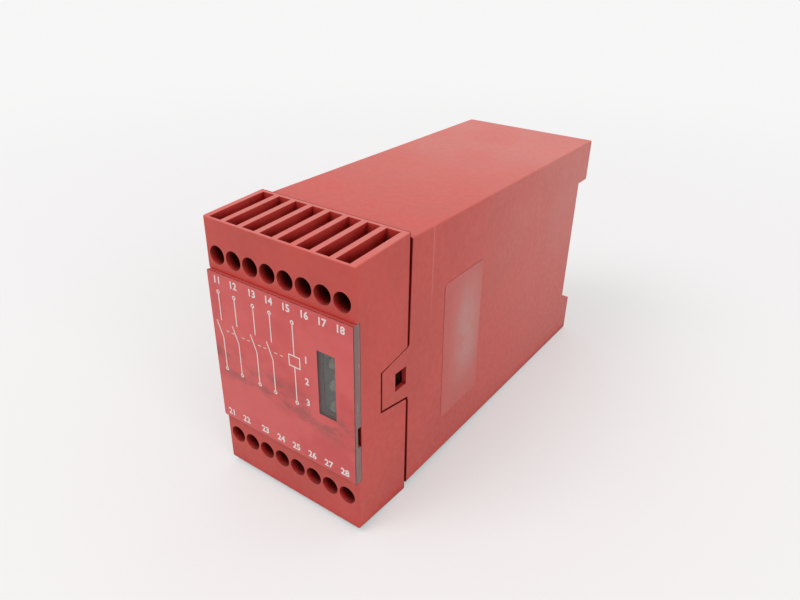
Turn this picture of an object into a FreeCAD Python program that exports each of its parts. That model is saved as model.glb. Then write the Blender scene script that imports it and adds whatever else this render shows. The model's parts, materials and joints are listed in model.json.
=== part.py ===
"""Safety relay in a 45 mm DIN-rail enclosure.

Design axes, before each sub-part is placed: X across the width, Y from the
hood's front face to the back, Z up from the middle of the height. The finished
part stands on its underside, with its origin in the middle of its footprint.
"""
import FreeCAD, Part
import math
import os
import re
import Sketcher
from FreeCAD import Placement, Rotation, Vector

# Driving dimensions, in millimetres (counts are plain numbers).
SIZES = {
    # enclosure
    "case_width": 45.0,
    "unit_depth": 121.0,
    "case_height": 70.0,
    "case_wall": 2.0,
    "case_edge": 0.5,
    "hood_depth": 18.75,
    "hood_front_height": 70.8,
    "hood_rear_height": 73.2,
    "hood_wall": 1.2,
    "hood_front_wall": 1.8,
    "hood_corner": 0.6,
    "hood_edge": 0.35,
    "seam_gap": 0.5,
    "seam_flare": 0.35,
    "overcut": 1.0,
    # terminal access through the hood
    "pitch": 5.38,
    "way_count": 8,
    "driver_hole": 4.83,
    "screw_level": 26.35,
    "driver_sleeve": 5.5,
    "sleeve_margin": 1.4,
    "slot_width": 3.8,
    "slot_front": 0.5,
    "slot_rear_wall": 1.1,
    "roof_level": 30.6,
    # side tabs of the case and the hood's latch arms
    "tab_front": 8.85,
    "tab_front_half": 5.3,
    "tab_rear_half": 7.2,
    "tab_rise": 0.3,
    "tab_thick": 1.2,
    "tab_gap": 0.35,
    "tab_mouth": 0.8,
    "catch_front": 13.95,
    "catch_length": 4.4,
    "catch_height": 5.1,
    "arm_thick": 1.2,
    "arm_height": 4.5,
    "nose_length": 1.5,
    "nose_out": 0.8,
    "catch_gap": 0.15,
    # clear front plate, its printed film and the side label
    "plate_top": 22.3,
    "plate_bottom": 20.4,
    "plate_thick": 0.8,
    "plate_gap": 0.05,
    "plate_left_margin": 0.3,
    "plate_corner": 0.5,
    "wing_thick": 1.0,
    "wing_depth": 1.15,
    "wing_play": 0.1,
    "notch_top": 4.5,
    "notch_height": 5.6,
    "film_thick": 0.1,
    "film_left_margin": 0.4,
    "film_margin": 0.15,
    "film_corner": 0.4,
    "window_x": 14.55,
    "window_z": 4.1,
    "window_width": 5.2,
    "window_height": 17.2,
    "side_label_y": 44.1,
    "side_label_z": 2.7,
    "side_label_width": 18.6,
    "side_label_height": 41.0,
    "side_label_thick": 0.08,
    "side_label_turn": 1.6,
    "side_label_corner": 1.1,
    # rail recess, hooks, latch and springs
    "recess_depth": 6.2,
    "recess_top": 22.1,
    "recess_bottom": 19.0,
    "recess_slope": 3.3,
    "rail_height": 35.0,
    "rail_middle": 1.5,
    "rail_thick": 1.0,
    "rail_play": 0.3,
    "hook_overlap": 1.8,
    "hook_thick": 2.5,
    "hook_width": 8.0,
    "hook_offset": 12.0,
    "latch_width": 14.0,
    "latch_thick": 2.8,
    "latch_play": 0.1,
    "latch_travel": 2.0,
    "shoulder_width": 21.4,
    "shoulder_top": 24.6,
    "shoulder_height": 2.4,
    "pry_slot_width": 6.0,
    "pry_slot_thick": 1.2,
    "pry_slot_depth": 2.0,
    "spring_room": 5.0,
    "spring_gap": 0.3,
    "spring_strip": 0.9,
    "spring_width": 2.9,
    "spring_depth": 2.0,
    "spring_folds": 4,
    # terminal blocks
    "block_front_gap": 0.3,
    "block_bottom": 17.0,
    "block_top": 29.2,
    "block_lip": 1.0,
    "cell_rear_wall": 1.0,
    "cell_play": 0.1,
    "cell_slack": 0.2,
    "driver_lip_hole": 3.0,
    # screws, clamps and contact bars
    "head_diameter": 3.7,
    "head_height": 1.6,
    "head_play": 0.1,
    "head_seat": 0.5,
    "drive_slot": 0.6,
    "drive_depth": 0.8,
    "shank_diameter": 2.4,
    "thread_play": 0.05,
    "clamp_width": 3.6,
    "clamp_height": 4.6,
    "clamp_front_leg": 1.5,
    "clamp_rear_leg": 1.0,
    "clamp_side_leg": 0.45,
    "clamp_travel": 2.4,
    "clamp_gap": 0.15,
    "bar_width": 2.5,
    "bar_thick": 1.0,
    "bar_top": 28.2,
    "tail_level": 18.0,
    "tail_pass": 1.4,
    # boards and what they carry
    "board_thick": 1.6,
    "board_play": 0.2,
    "front_board_gap": 0.1,
    "opening_half": 29.4,
    "tongue_thick": 1.0,
    "tongue_length": 1.7,
    "web_thick": 1.7,
    "side_board_x": 18.8,
    "side_board_height": 62.0,
    "relay_length": 40.0,
    "relay_height": 24.0,
    "relay_width": 16.0,
    "relay_start": 50.0,
    "relay_spacing": 34.0,
    "part_edge": 0.6,
    "smoothing_diameter": 12.5,
    "smoothing_length": 25.0,
    "smoothing_start": 30.0,
    "timing_diameter": 8.0,
    "timing_length": 11.5,
    "rectifier_length": 15.0,
    "rectifier_height": 8.0,
    "rectifier_thick": 4.6,
    "varistor_diameter": 11.0,
    "varistor_thick": 4.0,
    "chip_length": 19.0,
    "chip_gap": 4.0,
    "chip_spacing": 12.8,
    "chip_width": 6.4,
    "chip_thick": 3.3,
    "header_length": 25.0,
    "header_size": 2.5,
    "led_diameter": 3.0,
    "led_length": 5.3,
    "led_tip": 1.2,
    "led_bevel": 0.75,
    "led_level": 2.8,
    "led_spacing": 5.85,
    "led_flange": 3.8,
    "led_flange_height": 1.0,
}

doc = FreeCAD.newDocument("safety_relay")
sheet = doc.addObject("Spreadsheet::Sheet", "Sizes")
for row, (alias, value) in enumerate(SIZES.items(), start=1):
    sheet.set(f"A{row}", alias)
    sheet.set(f"B{row}", str(value))
    sheet.setAlias(f"B{row}", alias)
doc.recompute()

# Levels that several sub-parts share, as expressions of the sizes above.
SEAM = "hood_depth + seam_gap"
INNER_HALF = "case_width / 2 - hood_wall"
CASE_INNER_HALF = "case_width / 2 - case_wall"
RECESS_FLOOR = "unit_depth - recess_depth"
RAIL_TOP = "rail_middle + rail_height / 2"
RAIL_BOTTOM = "rail_middle - rail_height / 2"
SLEEVE_LEVEL = "screw_level - driver_hole / 2 - sleeve_margin"
FIRST_WAY = "0 - pitch * (way_count - 1) / 2"
WAYS_SPAN = "pitch * (way_count - 1)"
PLATE_LEFT = "plate_left_margin - case_width / 2"
PLATE_BACK = "0 - plate_gap"
PLATE_FACE = "0 - plate_gap - plate_thick"
FILM_FACE = "0 - plate_gap - plate_thick - film_thick"
BLOCK_FRONT = "driver_sleeve + block_front_gap"
HEAD_FRONT = f"{BLOCK_FRONT} + block_lip + head_play"
SHANK_FRONT = f"{HEAD_FRONT} + head_height"
CELL_FRONT = f"{SHANK_FRONT} + head_seat"
CLAMP_FRONT = f"{CELL_FRONT} + clamp_gap"
BAR_FRONT = f"{CLAMP_FRONT} + clamp_front_leg + clamp_travel + clamp_gap"
CLAMP_WINDOW_END = f"{BAR_FRONT} + bar_thick + thread_play"
CLAMP_REAR = f"{CLAMP_WINDOW_END} + clamp_rear_leg"
CELL_REAR = f"{CLAMP_REAR} + clamp_travel + cell_slack"
BLOCK_REAR = f"{CELL_REAR} + cell_rear_wall"
CELL_HALF = "clamp_width / 2 + cell_play"
CELL_FLOOR = "screw_level - clamp_height / 2 - cell_slack"
FRONT_BOARD = f"{BLOCK_REAR} + front_board_gap"
FRONT_BOARD_BACK = f"{FRONT_BOARD} + board_thick"
SIDE_BOARD_START = f"{FRONT_BOARD_BACK} + tail_pass + front_board_gap"
SIDE_BOARD_END = f"{RECESS_FLOOR} - case_wall - board_play"
SIDE_BOARD_FACE = "side_board_x - board_thick / 2"
CHANNEL_FRONT = f"{RECESS_FLOOR} + rail_thick + rail_play"
LATCH_FRONT = f"{CHANNEL_FRONT} + latch_play"
SHOULDER_BOTTOM = "shoulder_top + shoulder_height"
SPRING_FLOOR = f"{SHOULDER_BOTTOM} + spring_room"
ORIGIN_BACK = "(unit_depth - plate_gap - plate_thick - film_thick) / 2"
FLOOR_DROP = "hood_rear_height / 2"

# Sides of the small repeated rounds, which lie deep inside.
HEAD_SIDES = 16
SHANK_SIDES = 12

sub_parts = []


def bound(expression):
    """The expression with its size names written as cells of the sheet."""
    return re.sub(r"[a-z_]+", lambda word: f"Sizes.{word.group()}" if word.group() in SIZES
                  else word.group(), expression)


def bind(thing, attribute, expression):
    thing.setExpression(attribute, bound(expression))


def place(thing, across="0", back="0", up="0", turn=None):
    """Put a finished sub-part in the part's own frame."""
    if turn is not None:
        thing.Placement = Placement(Vector(), turn)
    bind(thing, "Placement.Base.x", across)
    bind(thing, "Placement.Base.y", f"{back} - {ORIGIN_BACK}")
    bind(thing, "Placement.Base.z", f"{up} + {FLOOR_DROP}")


def finish(thing, label, **where):
    thing.Label = label
    place(thing, **where)
    sub_parts.append(thing)
    return thing


def new_body(name):
    return doc.addObject("PartDesign::Body", name)


def origin_item(body, role):
    return next(item for item in body.Origin.OriginFeatures if item.Role == role)


def new_sketch(body, name, plane, level="0"):
    """A sketch on one of the body's origin planes, moved along the plane's normal."""
    sketch = body.newObject("Sketcher::SketchObject", name)
    sketch.AttachmentSupport = [(origin_item(body, f"{plane}_Plane"), "")]
    sketch.MapMode = "FlatFace"
    # The XZ plane's normal is -Y, so a level along +Y is counted backwards.
    bind(sketch, "AttachmentOffset.Base.z", f"0 - ({level})" if plane == "XZ" else level)
    return sketch


def pin_point(sketch, line, end, across, up):
    """Hold one end of a line at two expressions measured from the sketch's origin."""
    for kind, expression in (("DistanceX", across), ("DistanceY", up)):
        index = sketch.addConstraint(Sketcher.Constraint(kind, -1, 1, line, end, 0.0))
        bind(sketch, f"Constraints[{index}]", expression)


def value_of(expression):
    """The number that an expression of the sizes has now."""
    return eval_expression(sheet, bound(expression))


def eval_expression(owner, text):
    return float(owner.evalExpression(text))


def polygon(sketch, points):
    """A closed outline whose corners are pairs of expressions."""
    first = sketch.GeometryCount
    corners = [Vector(value_of(across), value_of(up), 0) for across, up in points]
    count = len(corners)
    for index in range(count):
        sketch.addGeometry(Part.LineSegment(corners[index], corners[(index + 1) % count]))
    for index in range(count):
        following = first + (index + 1) % count
        sketch.addConstraint(Sketcher.Constraint("Coincident", first + index, 2, following, 1))
    for index, (across, up) in enumerate(points):
        pin_point(sketch, first + index, 1, across, up)
    return sketch


def rectangle(sketch, left, right, low, high):
    return polygon(sketch, [(left, low), (right, low), (right, high), (left, high)])


def circle(sketch, across, up, diameter):
    centre = Vector(value_of(across), value_of(up), 0)
    index = sketch.addGeometry(Part.Circle(centre, Vector(0, 0, 1), value_of(diameter) / 2))
    pin_point(sketch, index, 3, across, up)
    constraint = sketch.addConstraint(Sketcher.Constraint("Diameter", index, value_of(diameter)))
    bind(sketch, f"Constraints[{constraint}]", diameter)
    return sketch


def small_round(sketch, across, up, diameter, sides, hole=False):
    """A small repeated round as a many-sided outline: outside the circle for a hole, inside for a pin."""
    corner = 1 / math.cos(math.pi / sides) if hole else 1.0
    points = []
    for side in range(sides):
        angle = 2 * math.pi * (side + 0.5) / sides
        points.append((f"{across} + ({diameter}) * {corner * math.cos(angle) / 2:.6f}",
                       f"{up} + ({diameter}) * {corner * math.sin(angle) / 2:.6f}"))
    return polygon(sketch, points)


def extrude(body, kind, sketch, length, reverse=False, both_ways=False):
    feature = body.newObject(f"PartDesign::{kind}", f"{sketch.Name}_{kind}")
    feature.Profile = sketch
    feature.Length = value_of(length)
    bind(feature, "Length", length)
    feature.Reversed = reverse
    if both_ways:
        feature.SideType = "Symmetric"
    return feature


def pad(body, sketch, length, **options):
    feature = extrude(body, "Pad", sketch, length, **options)
    doc.recompute()
    return feature


def pocket(body, sketch, length, **options):
    before = body.Shape.Volume
    feature = extrude(body, "Pocket", sketch, length, **options)
    doc.recompute()
    if body.Shape.Volume > before - 1e-4:
        raise RuntimeError(f"{feature.Name} cuts nothing")
    return feature


def repeat_ways(body, originals, both_rows=False):
    """Repeat features at every terminal way, and in the other row too if asked."""
    row = body.newObject("PartDesign::LinearPattern", f"{originals[0].Name}_row")
    row.Direction = (origin_item(body, "X_Axis"), [""])
    bind(row, "Length", WAYS_SPAN)
    bind(row, "Occurrences", "way_count")
    if both_rows:
        rows = body.newObject("PartDesign::MultiTransform", f"{originals[0].Name}_rows")
        rows.Originals = originals
        other = body.newObject("PartDesign::Mirrored", f"{originals[0].Name}_other_row")
        other.MirrorPlane = (origin_item(body, "XY_Plane"), [""])
        rows.Transformations = [row, other]
        body.Tip = rows
    else:
        row.Originals = originals
        body.Tip = row
    doc.recompute()


def mirror_sides(body, originals):
    mirrored = body.newObject("PartDesign::Mirrored", f"{originals[0].Name}_other_side")
    mirrored.Originals = originals
    mirrored.MirrorPlane = (origin_item(body, "YZ_Plane"), [""])
    body.Tip = mirrored
    doc.recompute()


def round_edges(body, radius, wanted):
    """Fillet the edges that the test picks by their middle point and direction."""
    names = []
    for number, edge in enumerate(body.Shape.Edges, start=1):
        middle = edge.valueAt((edge.FirstParameter + edge.LastParameter) / 2)
        if wanted(middle, edge.tangentAt(edge.FirstParameter)):
            names.append(f"Edge{number}")
    base = body.Tip
    fillet = body.newObject("PartDesign::Fillet", f"{body.Name}_round")
    fillet.Base = (base, names)
    fillet.Radius = value_of(radius)
    bind(fillet, "Radius", radius)
    doc.recompute()
    if not names or "Invalid" in fillet.State:
        raise RuntimeError(f"{fillet.Name} has no edges or fails")
    return fillet


def near(one, other):
    return math.isclose(one, other, abs_tol=1e-4)


def parallel(along, axis):
    return abs(along.dot(axis)) > 0.9


AXIS_X, AXIS_Y, AXIS_Z = Vector(1, 0, 0), Vector(0, 1, 0), Vector(0, 0, 1)


def make_front_hood():
    """Moulded hood over the terminals: slots above and below, holes in front."""
    body = new_body("front_hood")
    front_half, rear_half = "hood_front_height / 2", "hood_rear_height / 2"
    side = new_sketch(body, "hood_side", "YZ")
    polygon(side, [("0", f"0 - {front_half}"), ("hood_depth", f"0 - {rear_half}"),
                   ("hood_depth", rear_half), ("0", front_half)])
    pad(body, side, "case_width", both_ways=True)
    round_edges(body, "hood_corner", lambda middle, along: near(middle.y, 0) and parallel(along, AXIS_Z))
    # The top and bottom outlines are rounded in one run, round the front corners.
    outline_level, depth = value_of(front_half), value_of("hood_depth")
    round_edges(body, "hood_edge", lambda middle, along: abs(middle.z) > outline_level - 1e-3
                and middle.y < depth - 0.1)

    inside = new_sketch(body, "hood_inside", "YZ")
    polygon(inside, [("hood_depth + overcut", "roof_level"), ("driver_sleeve", "roof_level"),
                     ("driver_sleeve", SLEEVE_LEVEL), ("hood_front_wall", SLEEVE_LEVEL),
                     ("hood_front_wall", f"0 - ({SLEEVE_LEVEL})"),
                     ("driver_sleeve", f"0 - ({SLEEVE_LEVEL})"),
                     ("driver_sleeve", "0 - roof_level"), ("hood_depth + overcut", "0 - roof_level")])
    pocket(body, inside, f"2 * ({INNER_HALF})", both_ways=True)

    slot = new_sketch(body, "wire_slot", "XY", "hood_rear_height / 2")
    rectangle(slot, f"{FIRST_WAY} - slot_width / 2", f"{FIRST_WAY} + slot_width / 2",
              "slot_front", "hood_depth - slot_rear_wall")
    slot_cut = pocket(body, slot, "hood_rear_height / 2 - roof_level")
    repeat_ways(body, [slot_cut], both_rows=True)

    hole = new_sketch(body, "driver_hole", "XZ")
    circle(hole, FIRST_WAY, "screw_level", "driver_hole")
    hole_cut = pocket(body, hole, "driver_sleeve")
    repeat_ways(body, [hole_cut], both_rows=True)

    rebates = new_sketch(body, "wing_rebates", "XZ")
    for left, right in (("0 - case_width / 2 - overcut", f"{PLATE_LEFT} + wing_thick + wing_play"),
                        ("case_width / 2 - wing_thick - wing_play", "case_width / 2 + overcut")):
        rectangle(rebates, left, right, "0 - plate_bottom - wing_play", "plate_top + wing_play")
    pocket(body, rebates, "wing_depth + wing_play")

    window = new_sketch(body, "hood_window", "XZ")
    rectangle(window, "window_x - window_width / 2", "window_x + window_width / 2",
              "window_z - window_height / 2", "window_z + window_height / 2")
    pocket(body, window, "hood_front_wall")

    arm_face = "case_width / 2 - tab_thick - catch_gap"
    opening = new_sketch(body, "tab_opening", "YZ", "case_width / 2")
    polygon(opening, tab_outline("tab_gap", "hood_depth + overcut", "tab_rise / 2"))
    opening_cut = pocket(body, opening, "hood_wall")
    arm = new_sketch(body, "latch_arm", "XY")
    nose_front = "catch_front + catch_gap"
    polygon(arm, [(f"{arm_face} - arm_thick", "hood_front_wall"), (arm_face, "hood_front_wall"),
                  (arm_face, nose_front), (f"{arm_face} + nose_out", nose_front),
                  (arm_face, f"{nose_front} + nose_length"),
                  (f"{arm_face} - arm_thick", f"{nose_front} + nose_length")])
    arm_pad = pad(body, arm, "arm_height", both_ways=True)
    mirror_sides(body, [opening_cut, arm_pad])
    # The hood's own corners are rounded where the tab enters.
    round_edges(body, "tab_mouth", lambda middle, along: near(middle.y, depth) and parallel(along, AXIS_X)
                and abs(middle.x) > value_of(INNER_HALF) and abs(middle.z) < value_of("screw_level"))
    return finish(body, "front_hood")


def tab_outline(grown, rear, middle):
    """The side tab's tapered outline about a level, grown by a gap on its three free sides."""
    taper = f"(tab_rear_half - tab_front_half) / (({SEAM}) - tab_front)"
    front_half = f"tab_front_half + {grown} - {grown} * {taper}"
    rear_half = f"tab_front_half + {grown} + ({rear} - tab_front) * {taper}"
    return [(f"tab_front - {grown}", f"{middle} - ({front_half})"), (rear, f"{middle} - ({rear_half})"),
            (rear, f"{middle} + {rear_half}"), (f"tab_front - {grown}", f"{middle} + {front_half}")]


def make_rear_case():
    """Box-shaped case with the rail recess behind and a catch tab on each side."""
    body = new_body("rear_case")
    half, inner = "case_height / 2", "case_height / 2 - case_wall"
    side = new_sketch(body, "case_side", "YZ")
    polygon(side, [(f"{SEAM} + seam_flare", half), (SEAM, "tab_rear_half + tab_rise"),
                   (SEAM, "tab_rise - tab_rear_half"), (f"{SEAM} + seam_flare", f"0 - {half}"),
                   ("unit_depth", f"0 - {half}"), ("unit_depth", "0 - recess_bottom - recess_slope"),
                   (RECESS_FLOOR, "0 - recess_bottom"), (RECESS_FLOOR, "recess_top"),
                   ("unit_depth", "recess_top"), ("unit_depth", half)])
    pad(body, side, "case_width", both_ways=True)
    half_width, half_height = value_of("case_width / 2"), value_of(half)
    back = value_of("unit_depth")
    round_edges(body, "case_edge", lambda middle, along: near(abs(middle.z), half_height)
                and ((near(abs(middle.x), half_width) and parallel(along, AXIS_Y))
                     or (near(middle.y, back) and parallel(along, AXIS_X))))

    inside = new_sketch(body, "case_inside", "YZ")
    web_back = f"{SEAM} + seam_flare + web_thick"
    polygon(inside, [(f"{SEAM} - overcut", "opening_half"), (web_back, "opening_half"), (web_back, inner),
                     ("unit_depth - case_wall", inner), ("unit_depth - case_wall", "recess_top + case_wall"),
                     (f"{RECESS_FLOOR} - case_wall", "recess_top + case_wall"),
                     (f"{RECESS_FLOOR} - case_wall", f"0 - ({inner})"), (web_back, f"0 - ({inner})"),
                     (web_back, "0 - opening_half"), (f"{SEAM} - overcut", "0 - opening_half")])
    pocket(body, inside, f"2 * ({CASE_INNER_HALF})", both_ways=True)

    tongue = new_sketch(body, "seam_tongue", "XZ", f"{SEAM} - tongue_length")
    tongue_half = f"{CASE_INNER_HALF}"
    for low, high in (("opening_half", "opening_half + tongue_thick"),
                      ("0 - opening_half - tongue_thick", "0 - opening_half")):
        rectangle(tongue, f"0 - ({tongue_half})", tongue_half, low, high)
    pad(body, tongue, "tongue_length + seam_flare + case_edge", reverse=True)

    tab = new_sketch(body, "side_tab", "YZ", "case_width / 2 - tab_thick")
    polygon(tab, tab_outline("0", f"{SEAM} + case_edge", "tab_rise"))
    tab_pad = pad(body, tab, "tab_thick")
    catch = new_sketch(body, "tab_catch", "YZ", "case_width / 2")
    rectangle(catch, "catch_front", "catch_front + catch_length", "0 - catch_height / 2",
              "catch_height / 2")
    catch_cut = pocket(body, catch, "tab_thick")
    mirror_sides(body, [tab_pad, catch_cut])

    hook = new_sketch(body, "rail_hook", "YZ", "hook_offset - hook_width / 2")
    hook_front, hook_back = CHANNEL_FRONT, f"{CHANNEL_FRONT} + hook_thick"
    hook_tip = f"{RAIL_TOP} - hook_overlap"
    polygon(hook, [(RECESS_FLOOR, "recess_top"), (RECESS_FLOOR, f"{RAIL_TOP} + rail_play"),
                   (hook_front, f"{RAIL_TOP} + rail_play"), (hook_front, hook_tip),
                   (hook_back, f"{hook_tip} + hook_overlap / 2"), ("unit_depth", "recess_top")])
    hook_pad = pad(body, hook, "hook_width")
    mirror_sides(body, [hook_pad])

    channel_back = f"{CHANNEL_FRONT} + latch_thick + 2 * latch_play"
    channel = new_sketch(body, "latch_channel", "XY", f"0 - {half}")
    rectangle(channel, "0 - latch_width / 2 - latch_play", "latch_width / 2 + latch_play",
              CHANNEL_FRONT, channel_back)
    pocket(body, channel, f"{half} - recess_bottom + recess_slope", reverse=True)
    well = new_sketch(body, "spring_well", "XZ", "unit_depth")
    rectangle(well, "0 - shoulder_width / 2 - latch_play", "shoulder_width / 2 + latch_play",
              f"0 - ({SPRING_FLOOR}) - latch_play", "latch_play - shoulder_top")
    pocket(body, well, f"unit_depth - ({CHANNEL_FRONT})", reverse=True)
    return finish(body, "rear_case")


def make_front_plate():
    """Clear push-on plate with a wing down each side and a notch for a fingernail."""
    body = new_body("front_plate")
    face = new_sketch(body, "plate_face", "XZ", PLATE_FACE)
    right = "case_width / 2"
    rectangle(face, PLATE_LEFT, right, "0 - plate_bottom", "plate_top")
    pad(body, face, "plate_thick", reverse=True)
    wings = new_sketch(body, "plate_wings", "XZ", PLATE_BACK)
    for side in (PLATE_LEFT, f"{right} - wing_thick"):
        rectangle(wings, side, f"{side} + wing_thick", "0 - plate_bottom", "plate_top")
    pad(body, wings, "wing_depth + plate_gap", reverse=True)
    left_edge = value_of(PLATE_LEFT)
    round_edges(body, "plate_corner", lambda middle, along: near(middle.x, left_edge)
                and parallel(along, AXIS_Y))
    notch = new_sketch(body, "plate_notch", "YZ", right)
    rectangle(notch, "0", "wing_depth + overcut", "0 - notch_top - notch_height", "0 - notch_top")
    pocket(body, notch, "wing_thick")
    return finish(body, "front_plate")


def make_label_film():
    """Printed film on the plate, cut out over the window."""
    body = new_body("label_film")
    left = "film_left_margin - case_width / 2"
    film = new_sketch(body, "film_outline", "XZ", FILM_FACE)
    rectangle(film, left, "case_width / 2 - film_margin",
              "film_margin - plate_bottom", "plate_top - film_margin")
    rectangle(film, "window_x - window_width / 2", "window_x + window_width / 2",
              "window_z - window_height / 2", "window_z + window_height / 2")
    pad(body, film, "film_thick", reverse=True)
    left_edge = value_of(left)
    round_edges(body, "film_corner", lambda middle, along: near(middle.x, left_edge)
                and parallel(along, AXIS_Y))
    return finish(body, "label_film")


def make_side_label():
    """Thin bare label, stuck a little out of square on the case's side."""
    body = new_body("side_label")
    label = new_sketch(body, "side_label_outline", "YZ")
    rectangle(label, "0 - side_label_width / 2", "side_label_width / 2",
              "0 - side_label_height / 2", "side_label_height / 2")
    pad(body, label, "side_label_thick")
    round_edges(body, "side_label_corner", lambda middle, along: parallel(along, AXIS_X))
    turn = Rotation(AXIS_X, value_of("side_label_turn"))
    return finish(body, "side_label", across="case_width / 2", back="side_label_y",
                  up="0 - side_label_z", turn=turn)


def make_rail_latch():
    """Sliding latch for the rail's lower flange, with shoulders for its springs."""
    body = new_body("rail_latch")
    front = new_sketch(body, "latch_front", "XZ", LATCH_FRONT)
    half, shoulder = "latch_width / 2", "shoulder_width / 2"
    # At the end of its travel the foot is level with the hood's underside.
    foot = "latch_travel - hood_rear_height / 2"
    tip = f"{RAIL_BOTTOM} + hook_overlap"
    polygon(front, [(f"0 - {half}", foot), (half, foot), (half, f"0 - ({SHOULDER_BOTTOM})"),
                    (shoulder, f"0 - ({SHOULDER_BOTTOM})"), (shoulder, "0 - shoulder_top"),
                    (half, "0 - shoulder_top"), (half, tip), (f"0 - {half}", tip),
                    (f"0 - {half}", "0 - shoulder_top"), (f"0 - {shoulder}", "0 - shoulder_top"),
                    (f"0 - {shoulder}", f"0 - ({SHOULDER_BOTTOM})"),
                    (f"0 - {half}", f"0 - ({SHOULDER_BOTTOM})")])
    pad(body, front, "latch_thick", reverse=True)
    lead_in = new_sketch(body, "latch_lead_in", "YZ")
    latch_back = f"{LATCH_FRONT} + latch_thick"
    lead_front, past_back = f"{LATCH_FRONT} + latch_play", f"{latch_back} + overcut"
    polygon(lead_in, [(lead_front, tip), (latch_back, f"{tip} - latch_thick"),
                      (past_back, f"{tip} - latch_thick"), (past_back, f"{tip} + overcut"),
                      (lead_front, f"{tip} + overcut")])
    pocket(body, lead_in, "latch_width + overcut", both_ways=True)
    pry = new_sketch(body, "latch_pry_slot", "XY", foot)
    pry_front = f"{LATCH_FRONT} + (latch_thick - pry_slot_thick) / 2"
    rectangle(pry, "0 - pry_slot_width / 2", "pry_slot_width / 2", pry_front,
              f"{pry_front} + pry_slot_thick")
    pocket(body, pry, "pry_slot_depth", reverse=True)
    return finish(body, "rail_latch")


def make_latch_springs():
    """A folded strip spring under each of the latch's shoulders."""
    springs = []
    folds = int(SIZES["spring_folds"])
    inner = "latch_width / 2 + spring_gap"
    rise = f"(spring_room - latch_play) / {folds}"
    for name, sign in (("left_spring", "0 - "), ("right_spring", "0 + ")):
        body = new_body(name)
        strip = new_sketch(body, f"{name}_strip", "XZ", f"{LATCH_FRONT} + (latch_thick - spring_depth) / 2")
        near_side, far_side = [], []
        for fold in range(folds + 1):
            reach = inner if fold % 2 == 0 else f"{inner} + spring_width - spring_strip"
            level = f"({rise}) * {fold} - ({SPRING_FLOOR})"
            near_side.append((f"{sign}({reach})", level))
            far_side.append((f"{sign}({reach} + spring_strip)", level))
        polygon(strip, near_side + far_side[::-1])
        pad(body, strip, "spring_depth", reverse=True)
        springs.append(body)
    pair = doc.addObject("Part::Compound", "latch_spring_pair")
    pair.Links = springs
    return finish(pair, "latch_springs")


def make_terminal_block():
    """Eight-way block: a cell for each clamp, a bore for each screw's head."""
    body = new_body("terminal_block")
    label = body.Name
    block = new_sketch(body, f"{label}_side", "YZ")
    rectangle(block, BLOCK_FRONT, BLOCK_REAR, "block_bottom", "block_top")
    pad(body, block, f"2 * ({INNER_HALF} - cell_play)", both_ways=True)
    cell = new_sketch(body, f"{label}_cell", "XY", "block_top")
    rectangle(cell, f"{FIRST_WAY} - ({CELL_HALF})", f"{FIRST_WAY} + {CELL_HALF}", CELL_FRONT, CELL_REAR)
    cell_cut = pocket(body, cell, f"block_top - ({CELL_FLOOR})")
    bore = new_sketch(body, f"{label}_bore", "XZ", CELL_FRONT)
    small_round(bore, FIRST_WAY, "screw_level", "head_diameter + 2 * head_play", HEAD_SIDES, hole=True)
    bore_cut = pocket(body, bore, f"{CELL_FRONT} - ({BLOCK_FRONT} + block_lip)", reverse=True)
    access = new_sketch(body, f"{label}_access", "XZ", BLOCK_FRONT)
    small_round(access, FIRST_WAY, "screw_level", "driver_lip_hole", SHANK_SIDES, hole=True)
    access_cut = pocket(body, access, "block_lip")
    bar_half = "bar_width / 2 + cell_play"
    shaft = new_sketch(body, f"{label}_bar_slot", "XY", CELL_FLOOR)
    rectangle(shaft, f"{FIRST_WAY} - ({bar_half})", f"{FIRST_WAY} + {bar_half}",
              f"{BAR_FRONT} - cell_play", f"{BAR_FRONT} + bar_thick + cell_play")
    shaft_cut = pocket(body, shaft, f"{CELL_FLOOR} - block_bottom")
    tail = new_sketch(body, f"{label}_tail_slot", "XZ", BLOCK_REAR)
    rectangle(tail, f"{FIRST_WAY} - ({bar_half})", f"{FIRST_WAY} + {bar_half}", "block_bottom",
              "tail_level + bar_thick + cell_play")
    tail_cut = pocket(body, tail, f"{BLOCK_REAR} - ({BAR_FRONT}) + cell_play", reverse=True)
    repeat_ways(body, [cell_cut, bore_cut, access_cut, shaft_cut, tail_cut])
    return body


def make_terminal_screw():
    """Captive clamping screw, with a slotted head towards the hood's hole."""
    body = new_body("terminal_screw")
    label = body.Name
    head = new_sketch(body, f"{label}_head", "XZ", HEAD_FRONT)
    small_round(head, "0", "0", "head_diameter", HEAD_SIDES)
    pad(body, head, "head_height", reverse=True)
    shank = new_sketch(body, f"{label}_shank", "XZ", SHANK_FRONT)
    small_round(shank, "0", "0", "shank_diameter", SHANK_SIDES)
    pad(body, shank, f"{BAR_FRONT} - head_play - ({SHANK_FRONT})", reverse=True)
    drive = new_sketch(body, f"{label}_drive", "XZ", HEAD_FRONT)
    rectangle(drive, "0 - head_diameter", "head_diameter", "0 - drive_slot / 2", "drive_slot / 2")
    pocket(body, drive, "drive_depth")
    return body


def make_clamp():
    """Rising clamp: a square loop round the contact bar, threaded on the screw."""
    body = new_body("wire_clamp")
    label = body.Name
    loop = new_sketch(body, f"{label}_loop", "XY")
    rectangle(loop, "0 - clamp_width / 2", "clamp_width / 2", CLAMP_FRONT, CLAMP_REAR)
    window_half = "clamp_width / 2 - clamp_side_leg"
    rectangle(loop, f"0 - ({window_half})", window_half, f"{CLAMP_FRONT} + clamp_front_leg",
              CLAMP_WINDOW_END)
    pad(body, loop, "clamp_height", both_ways=True)
    thread = new_sketch(body, f"{label}_thread", "XZ", CLAMP_FRONT)
    small_round(thread, "0", "0", "shank_diameter + 2 * thread_play", SHANK_SIDES, hole=True)
    pocket(body, thread, "clamp_front_leg")
    return body


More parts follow.
